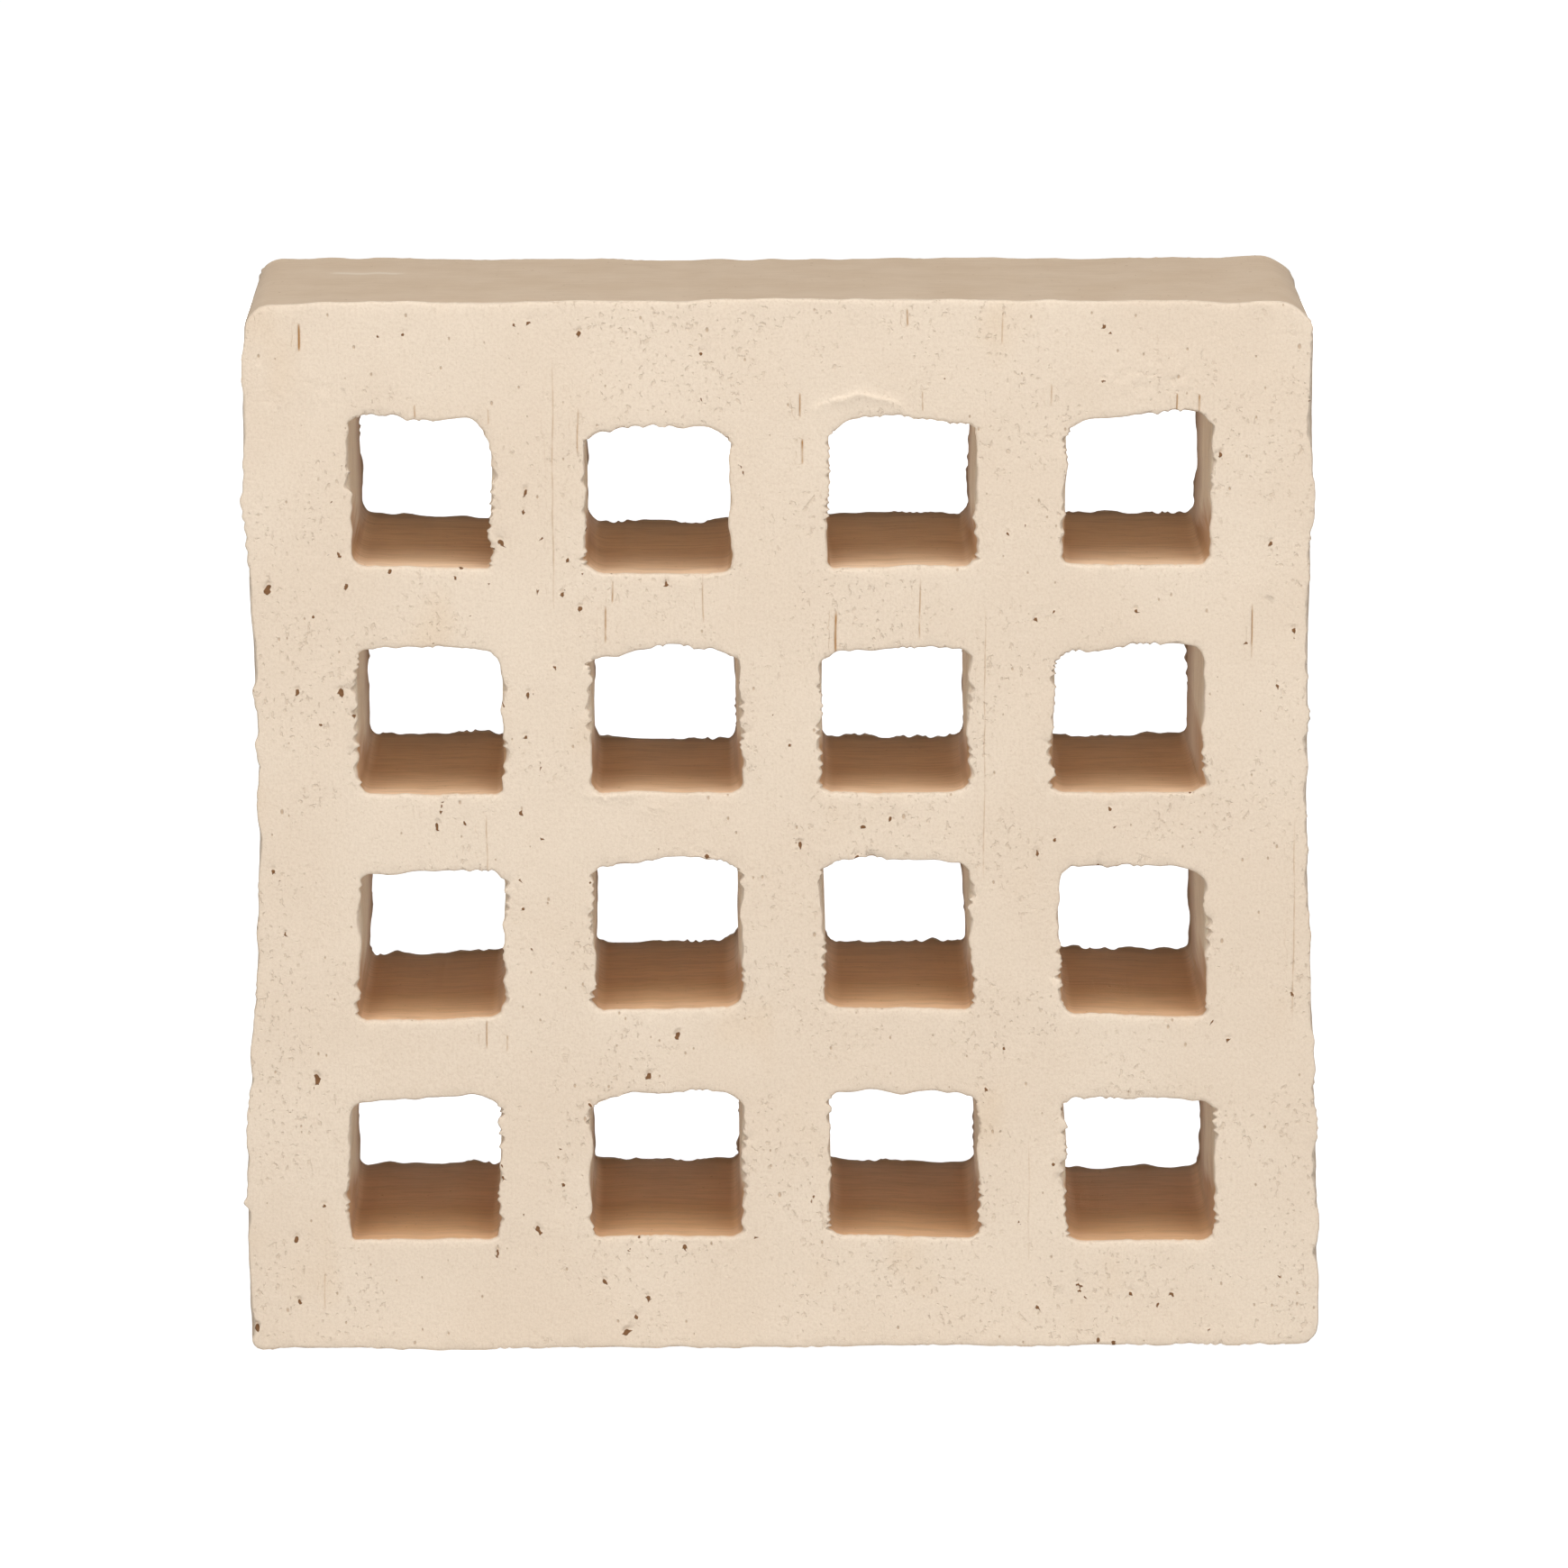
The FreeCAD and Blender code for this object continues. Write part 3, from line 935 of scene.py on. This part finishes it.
def noise(tree, place, scale, detail=2.0, roughness=0.5, stretch=(1, 1, 1)):
    """Noise on object coordinates, with scale in waves a metre and a stretch for each axis."""
    mapping = node(tree, "ShaderNodeMapping", Vector=place, Scale=stretch)
    made = node(
        tree, "ShaderNodeTexNoise", Vector=mapping.outputs["Vector"], Scale=scale,
        Detail=detail, Roughness=roughness,
    )
    return made.outputs["Fac"]


def stored(tree, name):
    """A number stored on the mesh's points."""
    return node(tree, "ShaderNodeAttribute", {"attribute_name": name}).outputs["Fac"]


def bell(tree, value):
    """A bell curve, exp(-value^2)."""
    square = maths(tree, "MULTIPLY", value, value)
    return maths(tree, "POWER", math.exp(-1), square)


def speckle(tree, place, scale, share, radius):
    """Spots at some of the sites of a Voronoi pattern: 1 inside a spot and 0 outside.

    Sites whose random number is below share hold none; the rest differ in size by that number.
    """
    stretched = node(tree, "ShaderNodeMapping", Vector=place, Scale=(1.0, 1.0, 0.6))
    sites = node(
        tree, "ShaderNodeTexVoronoi", {"feature": "F1"}, Vector=stretched.outputs["Vector"],
        Scale=scale,
    )
    number = node(tree, "ShaderNodeSeparateColor", Color=sites.outputs["Color"]).outputs["Red"]
    size = ramp(tree, number, share, 1.0, 0.0, radius)
    edge = maths(tree, "DIVIDE", sites.outputs["Distance"], maths(tree, "ADD", size, 0.0001))
    return ramp(tree, edge, 0.6, 1.2, 1.0, 0.0)


def bump(tree, height, distance, strength, normal=None):
    """A Bump node's normal, on top of another's."""
    made = node(
        tree, "ShaderNodeBump", Height=height, Distance=distance, Strength=strength
    )
    if normal is not None:
        put(tree, made, "Normal", normal)
    return made.outputs["Normal"]


def cut_clay(tree, place, finish):
    """Colour of the wire-cut faces: cream clouds, faint stains, and a fine-grained break."""
    cloud = noise(tree, place, 28, 3.0, 0.55)
    stain = noise(tree, place, 45, 2.0, 0.5, (1.0, 1.0, 0.7))
    grain = noise(tree, place, 1900, 3.0, 0.65)
    cream = blend(tree, ramp(tree, cloud, 0.35, 0.65), finish.cut_colour, finish.cut_colour_pale)
    cream = blend(tree, ramp(tree, stain, 0.60, 0.78, 0.0, 0.30), cream, finish.stain_colour)
    return blend(tree, ramp(tree, grain, 0.25, 0.62, 0.16, 0.0), cream, finish.speck_and_hole_shade_colour)


def side_wall(tree, depth, finish):
    """Colour of the cells' side walls, with painted shade: pale in front, brown far in with a dark
    strip at the back arris, and browner low down under the sill's painted shadow.
    """
    # Painted shade: the side walls go from a pale, lit colour at the front to a dark, shaded one far
    # in.
    shade_far_in = ramp(tree, depth, 0.45 * CAD_SIZE.y, CAD_SIZE.y)
    # Painted shade: a dark strip on the side walls just in front of the back arris, in the pits'
    # shade colour.
    last = ramp(tree, depth, CAD_SIZE.y - 5 * MM, CAD_SIZE.y - 2 * MM, 0.0, 0.6)
    wall = blend(tree, shade_far_in, finish.wall_colour, finish.wall_colour_shaded_back)
    wall = blend(tree, last, wall, finish.pit_shade_colour)
    # Painted shadow: the side walls turn browner below the line that the sill's shadow follows.
    return blend(tree, stored(tree, "shade"), wall, finish.wall_colour_shaded_low)


def cell_clay(tree, axes, finish):
    """Colour inside the cells: warm, with painted shade that makes it browner low down, darker in a
    band behind the front arris, and dim at the back.
    """
    facing = node(tree, "ShaderNodeNewGeometry").outputs["Normal"]
    facing = node(tree, "ShaderNodeSeparateXYZ", Vector=facing).outputs["X"]
    upright = ramp(tree, maths(tree, "ABSOLUTE", facing), 0.5, 0.95)
    depth = maths(tree, "ADD", axes.outputs["Y"], CAD_SIZE.y / 2)
    # Painted shade: a darker band on the cells' skin behind the front arris.
    front_shade = ramp(tree, depth, 3 * MM, 9 * MM, 0.0, 0.30)
    front_shade = maths(tree, "MULTIPLY", front_shade, ramp(tree, depth, 19 * MM, 32 * MM, 1.0, 0.0))
    # Painted shade: the cells' skin darkened just in front of the back arris, in the die lines'
    # colour.
    dim = ramp(tree, depth, CAD_SIZE.y - 7 * MM, CAD_SIZE.y - 1 * MM, 0.0, 0.45)
    # Painted shade: the cells' skin browner towards the bottom of the block.
    low = ramp(tree, axes.outputs["Z"], 0.1 * CAD_SIZE.z, 0.9 * CAD_SIZE.z, 1.0, 0.0)
    cell = blend(tree, low, finish.cell_colour, finish.cell_colour_shaded_low)
    cell = blend(tree, front_shade, cell, finish.front_shade_colour)
    cell = blend(tree, dim, cell, finish.die_line_and_back_shade_colour)
    return blend(tree, upright, cell, side_wall(tree, depth, finish))


def top_scratch(tree, axes):
    """One pale scratch along X on the top bed: 1 in its middle and 0 outside it."""
    middle_x, half_length, end = -78 * MM, 5 * MM, 3 * MM
    middle_y, half_width = 9 * MM, 1.2 * MM
    across = maths(tree, "SUBTRACT", axes.outputs["Y"], middle_y)
    across = bell(tree, maths(tree, "DIVIDE", across, half_width))
    along = maths(tree, "ABSOLUTE", maths(tree, "SUBTRACT", axes.outputs["X"], middle_x))
    along = ramp(tree, along, half_length, half_length + end, 1.0, 0.0)
    on_top = ramp(tree, axes.outputs["Z"], CAD_SIZE.z - 6 * MM, CAD_SIZE.z - 5 * MM)
    return maths(tree, "MULTIPLY", maths(tree, "MULTIPLY", across, along), on_top)


def drawn_skin(tree, place, axes, ripple, finish):
    """Colour where the die drew the clay: browner, with fine lines square to the draw."""
    patch = noise(tree, place, 75, 4.0, 0.6)
    skin = blend(tree, ramp(tree, patch, 0.3, 0.7), finish.skin_colour, finish.skin_colour_dark)
    middle = CAD_SIZE / 2
    out_x = maths(tree, "ABSOLUTE", axes.outputs["X"])
    out_z = maths(tree, "ABSOLUTE", maths(tree, "SUBTRACT", axes.outputs["Z"], middle.z))
    outside = maths(tree, "MAXIMUM", out_x, out_z)
    outside = ramp(tree, outside, middle.x - 14 * MM, middle.x - 10 * MM)
    skin = blend(tree, outside, cell_clay(tree, axes, finish), skin)
    lines = ramp(tree, outside, 0.0, 1.0, finish.line_strength, 0.3 * finish.line_strength)
    lines = maths(tree, "MULTIPLY", ramp(tree, ripple, 0.40, 0.66), lines)
    return blend(tree, lines, skin, finish.die_line_and_back_shade_colour)


def small_holes(tree, place):
    """Small holes of two sizes, drawn out up the face; only some of the sites hold one."""
    large, small = speckle(tree, place, 300, 0.76, 0.10), speckle(tree, place, 620, 0.72, 0.15)
    return maths(tree, "MAXIMUM", large, small)


def small_tears(tree, place, cut):
    """Fine tears of the cut, in patches: 1 inside a tear."""
    torn_here = ramp(tree, noise(tree, place, 48, 2.0, 0.6), 0.42, 0.62, 0.15, 1.0)
    tears = ramp(tree, noise(tree, place, 1150, 2.0, 0.5, (1.0, 1.0, 0.75)), 0.615, 0.70)
    return maths(tree, "MULTIPLY", maths(tree, "MULTIPLY", tears, torn_here), cut)


def groove_and_lip(tree):
    """The drag lines' sections: a bell at the middle, and a lower one, for the lip, beside it."""
    score, aside = stored(tree, "score"), stored(tree, "aside")
    groove = maths(tree, "MULTIPLY", bell(tree, aside), score)
    lip = bell(tree, maths(tree, "MULTIPLY", maths(tree, "ADD", aside, 1.9), 1.1))
    return groove, maths(tree, "MULTIPLY", lip, score)


def clay_grain(tree, place, cut, ripple):
    """Height of the finest grain: combed sand on the cut faces, and lines on the skin."""
    combed = noise(tree, place, 10, 3.0, 0.6, (60.0, 20.0, 6.0))
    sand = noise(tree, place, 900, 5.0, 0.7)
    height = node(tree, "ShaderNodeMix", {"data_type": "FLOAT"})
    put(tree, height, 0, cut)
    sandy_lines = maths(tree, "MULTIPLY", ripple, 1.2)
    put(tree, height, 2, maths(tree, "ADD", maths(tree, "MULTIPLY", sand, 0.35), sandy_lines))
    put(tree, height, 3, maths(tree, "ADD", sand, maths(tree, "MULTIPLY", combed, 0.6)))
    return height.outputs[0]


def clay_material(finish):
    """Unglazed fired clay: a cream, sandy cut face, and a browner skin where the die drew it, with
    painted shade in the cells, pits, grooves and small holes.
    """
    material = bpy.data.materials.new("fired_clay")
    material.use_nodes = True
    tree = material.node_tree
    tree.nodes.clear()
    place = node(tree, "ShaderNodeTexCoord").outputs["Object"]
    axes = node(tree, "ShaderNodeSeparateXYZ", Vector=place)
    from_middle = maths(tree, "ABSOLUTE", axes.outputs["Y"])
    face = CAD_SIZE.y / 2
    cut = ramp(tree, from_middle, face - 1.6 * MM, face - 0.5 * MM)
    ripple = noise(tree, place, 10, 5.0, 0.75, (9.0, 85.0, 11.0))

    colour = blend(
        tree, cut, drawn_skin(tree, place, axes, ripple, finish), cut_clay(tree, place, finish)
    )
    colour = blend(tree, top_scratch(tree, axes), colour, finish.cut_colour_pale)
    holes, tears = small_holes(tree, place), small_tears(tree, place, cut)
    groove, lip = groove_and_lip(tree)
    pit = ramp(tree, stored(tree, "pit"), 0.40, 0.62)
    # Painted shade: the small tears and holes darkened in colour.
    colour = blend(tree, maths(tree, "MULTIPLY", tears, 0.17), colour, finish.speck_and_hole_shade_colour)
    colour = blend(tree, maths(tree, "MULTIPLY", holes, 0.5), colour, finish.speck_and_hole_shade_colour)
    # Painted shade in the grooves of the drag lines.
    colour = blend(tree, maths(tree, "MULTIPLY", groove, 2.9, True), colour, finish.groove_shade_colour)
    # Painted shade inside the pits.
    colour = blend(tree, maths(tree, "MULTIPLY", pit, 0.95), colour, finish.pit_shade_colour)

    normal = bump(tree, clay_grain(tree, place, cut, ripple), 0.30 * MM, finish.grain_strength)
    normal = bump(tree, maths(tree, "ADD", holes, tears), -0.14 * MM, 0.8, normal)
    normal = bump(tree, maths(tree, "SUBTRACT", lip, groove), 0.22 * MM, 1.0, normal)

    shader = node(
        tree, "ShaderNodeBsdfPrincipled", Base_Color=colour, Roughness=finish.roughness,
        Specular_IOR_Level=0.2, Normal=normal,
    )
    out = node(tree, "ShaderNodeOutputMaterial")
    tree.links.new(shader.outputs["BSDF"], out.inputs["Surface"])
    return material


def floor_material(studio):
    """Plain pale floor: matt, and lifted to white for the camera, so that only shade shows."""
    material = bpy.data.materials.new("studio_floor")
    material.use_nodes = True
    tree = material.node_tree
    tree.nodes.clear()
    rays = node(tree, "ShaderNodeLightPath")
    matt = node(tree, "ShaderNodeBsdfDiffuse", Color=studio.floor_colour)
    seen = maths(tree, "MAXIMUM", rays.outputs["Is Camera Ray"], rays.outputs["Is Glossy Ray"])
    glow = node(
        tree, "ShaderNodeEmission", Color=(1.0, 1.0, 1.0, 1.0),
        Strength=maths(tree, "MULTIPLY", seen, studio.floor_lift),
    )
    both = node(tree, "ShaderNodeAddShader")
    put(tree, both, 0, matt.outputs["BSDF"])
    put(tree, both, 1, glow.outputs["Emission"])
    out = node(tree, "ShaderNodeOutputMaterial")
    tree.links.new(both.outputs["Shader"], out.inputs["Surface"])
    return material


def studio_world(studio):
    """White to the camera and dim to everything else."""
    world = bpy.data.worlds.new("studio")
    world.use_nodes = True
    tree = world.node_tree
    tree.nodes.clear()
    rays = node(tree, "ShaderNodeLightPath")
    seen = maths(tree, "MAXIMUM", rays.outputs["Is Camera Ray"], rays.outputs["Is Glossy Ray"])
    seen = maths(tree, "MAXIMUM", seen, rays.outputs["Is Transmission Ray"])
    strength = ramp(tree, seen, 0.0, 1.0, studio.fill, 1.0)
    sky = node(tree, "ShaderNodeBackground", Color=(1.0, 1.0, 1.0, 1.0), Strength=strength)
    out = node(tree, "ShaderNodeOutputWorld")
    tree.links.new(sky.outputs["Background"], out.inputs["Surface"])
    return world


# --------------------------------------------------------------------------- properties


def length_property(name, description, millimetres):
    """A length in metres, shown in the scene's units, with its default in millimetres."""
    return bpy.props.FloatProperty(
        name=name, description=description, default=millimetres * MM, min=0.0,
        precision=5, subtype="DISTANCE", unit="LENGTH",
    )


def colour_property(name, description, red, green, blue):
    """A linear colour."""
    return bpy.props.FloatVectorProperty(
        name=name, description=description, default=(red, green, blue, 1.0),
        size=4, min=0.0, max=1.0, subtype="COLOR",
    )


class BlockShape(bpy.types.PropertyGroup):
    """Sizes of the block's section and of the wear on its edges."""

    cell_columns: bpy.props.IntProperty(
        name="Cell columns", description="Cells across the face", default=4, min=1)
    cell_rows: bpy.props.IntProperty(
        name="Cell rows", description="Cells up the face", default=4, min=1)
    side_rim: length_property("Side rim", "Wall between an end and the nearest cells", 19.6)
    bed_rim: length_property("Bed rim", "Wall between a bed and the nearest cells", 21.5)
    upright_web: length_property("Upright web", "Wall between two columns of cells", 17.0)
    level_web: length_property("Level web", "Wall between two rows of cells", 15.0)
    corner_wear: bpy.props.FloatProperty(
        name="Corner wear", description="Scale of the cells' corner radii", default=1.0, min=0.1)
    top_corner_radius: length_property("Top corner", "Outer corners beside the top bed", 5.0)
    bottom_corner_radius: length_property("Bottom corner", "Outer corners at the bottom bed", 2.5)
    arris_radius: length_property("Arris", "Rounding of the edges that the wire left", 0.6)
    top_sag: length_property("Top sag", "How far the top bed sank at the back, in the middle", 1.1)
    grid_pitch: length_property("Grid pitch", "Distance between grid lines on the face", 0.32)
    depth_steps: bpy.props.IntProperty(
        name="Depth steps", description="Grid lines in half the depth", default=26, min=4)
    small_pits: bpy.props.IntProperty(
        name="Small pits", description="Scattered pits on each cut face", default=240, min=0)
    triangles: bpy.props.IntProperty(
        name="Triangles", description="Triangles left after thinning", default=196000, min=1000)
    seed: bpy.props.IntProperty(
        name="Seed", description="Choice of the ragged edges and scattered pits", default=7)


class BlockFinish(bpy.types.PropertyGroup):
    """Colours and grain of the fired clay, with the colours of its painted shade."""

    cut_colour: colour_property("Cut face", "Wire-cut clay", 0.80, 0.665, 0.525)
    cut_colour_pale: colour_property("Cut face, pale", "Paler clouds in it", 0.825, 0.695, 0.555)
    stain_colour: colour_property("Stain", "Faint yellow stains", 0.74, 0.56, 0.38)
    skin_colour: colour_property("Skin", "Clay drawn smooth by the die", 0.75, 0.59, 0.435)
    skin_colour_dark: colour_property("Skin, dark", "Darker streaks in it", 0.71, 0.545, 0.39)
    # Also the colour of the painted shade at the back of the cells.
    die_line_and_back_shade_colour: colour_property("Skin lines", "Lines left by the die", 0.42, 0.27, 0.16)
    cell_colour: colour_property("Cell skin", "Warmer skin inside the cells", 0.95, 0.70, 0.48)
    # Painted shade: the cells' skin low down on the block.
    cell_colour_shaded_low: colour_property("Cell skin, low", "The same, low down", 0.80, 0.50, 0.28)
    # Painted light and shade: the side walls' lit colour at the front, and their shaded colours far
    # in and low down.
    wall_colour: colour_property("Cell walls", "Side walls near the front", 0.98, 0.87, 0.68)
    wall_colour_shaded_back: colour_property("Cell walls, back", "The same, far in", 0.58, 0.36, 0.20)
    # Painted shadow: the side walls' colour under the sill's shadow line.
    wall_colour_shaded_low: colour_property("Cell walls, low", "The same, low down", 0.62, 0.38, 0.21)
    # Painted shade: the band behind the cells' front arris.
    front_shade_colour: colour_property("Front shade", "Skin behind the front arris", 0.50, 0.24, 0.06)
    # Real sand specks, and painted shade in the small holes and tears.
    speck_and_hole_shade_colour: colour_property("Specks", "Sand and small holes", 0.40, 0.23, 0.11)
    # Painted shade in the drag lines' grooves.
    groove_shade_colour: colour_property("Grooves", "Bottom of the drag lines", 0.42, 0.21, 0.07)
    # Painted shade inside the pits, and in a strip at the back of the side walls.
    pit_shade_colour: colour_property("Pits", "Inside of the pits", 0.17, 0.07, 0.02)
    roughness: bpy.props.FloatProperty(
        name="Roughness", description="Roughness of the clay", default=0.95, min=0.0, max=1.0)
    line_strength: bpy.props.FloatProperty(
        name="Lines", description="Strength of the die's lines", default=0.32, min=0.0, max=1.0)
    grain_strength: bpy.props.FloatProperty(
        name="Grain", description="Strength of the sandy grain", default=0.5, min=0.0, max=1.0)


class StudioSettings(bpy.types.PropertyGroup):
    """Floor, light and camera."""

    floor_colour: colour_property("Floor", "Matt floor", 0.35, 0.35, 0.35)
    floor_lift: bpy.props.FloatProperty(
        name="Floor lift", description="White added to the floor for the camera", default=0.97)
    fill: bpy.props.FloatProperty(
        name="Fill", description="Light from all round", default=0.08, min=0.0)
    overhead_power: bpy.props.FloatProperty(
        name="Overhead light", description="Softbox above the front", default=37.0,
        min=0.0, unit="POWER")
    front_power: bpy.props.FloatProperty(
        name="Front light", description="Long low softbox in front", default=25.5,
        min=0.0, unit="POWER")
    rear_power: bpy.props.FloatProperty(
        name="Rear light", description="Low softbox behind", default=10.0,
        min=0.0, unit="POWER")
    focal_length: bpy.props.FloatProperty(
        name="Focal length", description="Camera lens", default=203.6, min=1.0, unit="CAMERA")


# --------------------------------------------------------------------------- operators


class BREEZE_OT_fired_block(bpy.types.Operator):
    """Builds the fired block on the CAD node and hides the plain solid"""

    bl_idname = "breeze.fired_block"
    bl_label = "Fired block"

    def execute(self, context):
        shape, finish = context.scene.breeze_shape, context.scene.breeze_finish
        section = Section(shape)
        skin = lattice_skin(section.clay(), len(section.y))
        columns, layers, rows = len(section.x), len(section.y), len(section.z)
        numbers = np.ravel_multi_index(np.moveaxis(skin, -1, 0), (columns, layers, rows))
        used, quads = np.unique(numbers.ravel(), return_inverse=True)
        corners = np.stack(np.unravel_index(used, (columns, layers, rows)), axis=1)
        points, front, back = fired_points(section, corners, shape)
        mesh = mesh_from_quads(PIECE, points * MM, quads.reshape(-1, 4))
        marks = marks_at(section, points, front, back)
        plain = (marks["pit"] < 0.05) & (marks["score"] < 0.02)
        mesh = thinned(mesh, shape.triangles, plain)
        mesh.name = PIECE
        mesh.shade_smooth()
        keep_marks(mesh, section, front, back)
        mesh.materials.clear()
        mesh.materials.append(clay_material(finish))
        block = bpy.data.objects.new(PIECE, mesh)
        context.scene.collection.objects.link(block)
        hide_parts(NODE)
        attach(block, BODY)
        return {"FINISHED"}


class BREEZE_OT_studio(bpy.types.Operator):
    """Builds the floor, the lights and the camera"""

    bl_idname = "breeze.studio"
    bl_label = "Studio"

    def execute(self, context):
        studio = context.scene.breeze_studio
        self.lay_floor(context, studio)
        context.scene.world = studio_world(studio)
        self.hang_light(context, "overhead", (0.0, -0.80, 1.95), (2.6, 1.50), studio.overhead_power)
        self.hang_light(context, "front", (0.0, -1.9, 0.30), (2.6, 0.44), studio.front_power)
        self.hang_light(context, "rear", (0.0, 1.3, 0.055), (2.4, 0.09), studio.rear_power)
        self.set_camera(context, studio)
        context.scene.view_settings.view_transform = "Standard"
        return {"FINISHED"}

    def lay_floor(self, context, studio):
        """A square of floor four metres to each side of the block."""
        reach = 4.0
        ends = np.array([(-1, -1), (1, -1), (1, 1), (-1, 1)]) * reach
        points = np.concatenate([ends, np.zeros((4, 1))], axis=1)
        mesh = mesh_from_quads("studio_floor", points, np.arange(4)[None, :])
        mesh.materials.append(floor_material(studio))
        floor = bpy.data.objects.new("studio_floor", mesh)
        context.scene.collection.objects.link(floor)

    def hang_light(self, context, name, place, size, power):
        """A rectangular softbox at a place, turned to the middle of the block."""
        light = bpy.data.lights.new(name, "AREA")
        light.shape = "RECTANGLE"
        light.size, light.size_y = size
        light.energy = power
        holder = bpy.data.objects.new(name, light)
        holder.location = place
        aim = Vector((0.0, 0.0, CAD_SIZE.z / 2)) - holder.location
        holder.rotation_euler = aim.to_track_quat("-Z", "Y").to_euler()
        holder.visible_camera = False
        context.scene.collection.objects.link(holder)

    def set_camera(self, context, studio):
        """A long lens in front of the block, above it and just left of its middle."""
        camera = bpy.data.cameras.new("camera")
        camera.lens = studio.focal_length
        camera.sensor_width = 36.0
        holder = bpy.data.objects.new("camera", camera)
        holder.location = CAMERA_PLACE
        aim = Vector(CAMERA_AIM) - holder.location
        holder.rotation_euler = aim.to_track_quat("-Z", "Y").to_euler()
        context.scene.collection.objects.link(holder)
        context.scene.camera = holder


class BREEZE_PT_panel(bpy.types.Panel):
    """Breeze block panel in the sidebar"""

    bl_idname = "BREEZE_PT_panel"
    bl_label = "Breeze block"
    bl_space_type = "VIEW_3D"
    bl_region_type = "UI"
    bl_category = "Breeze block"

    def draw(self, context):
        layout = self.layout
        for group in (
            context.scene.breeze_shape, context.scene.breeze_finish, context.scene.breeze_studio
        ):
            for name in group.__annotations__:
                layout.prop(group, name)
        layout.operator(BREEZE_OT_fired_block.bl_idname)
        layout.operator(BREEZE_OT_studio.bl_idname)


CLASSES = (
    BlockShape, BlockFinish, StudioSettings, BREEZE_OT_fired_block, BREEZE_OT_studio,
    BREEZE_PT_panel,
)


def register():
    """Registers the classes and hangs the settings on the scene."""
    for cls in CLASSES:
        bpy.utils.register_class(cls)
    bpy.types.Scene.breeze_shape = bpy.props.PointerProperty(type=BlockShape)
    bpy.types.Scene.breeze_finish = bpy.props.PointerProperty(type=BlockFinish)
    bpy.types.Scene.breeze_studio = bpy.props.PointerProperty(type=StudioSettings)


def unregister():
    """Takes the settings and the classes away again."""
    del bpy.types.Scene.breeze_studio
    del bpy.types.Scene.breeze_finish
    del bpy.types.Scene.breeze_shape
    for cls in reversed(CLASSES):
        bpy.utils.unregister_class(cls)


def main():
    register()
    bpy.ops.breeze.fired_block()
    bpy.ops.breeze.studio()


if __name__ == "__main__":
    main()
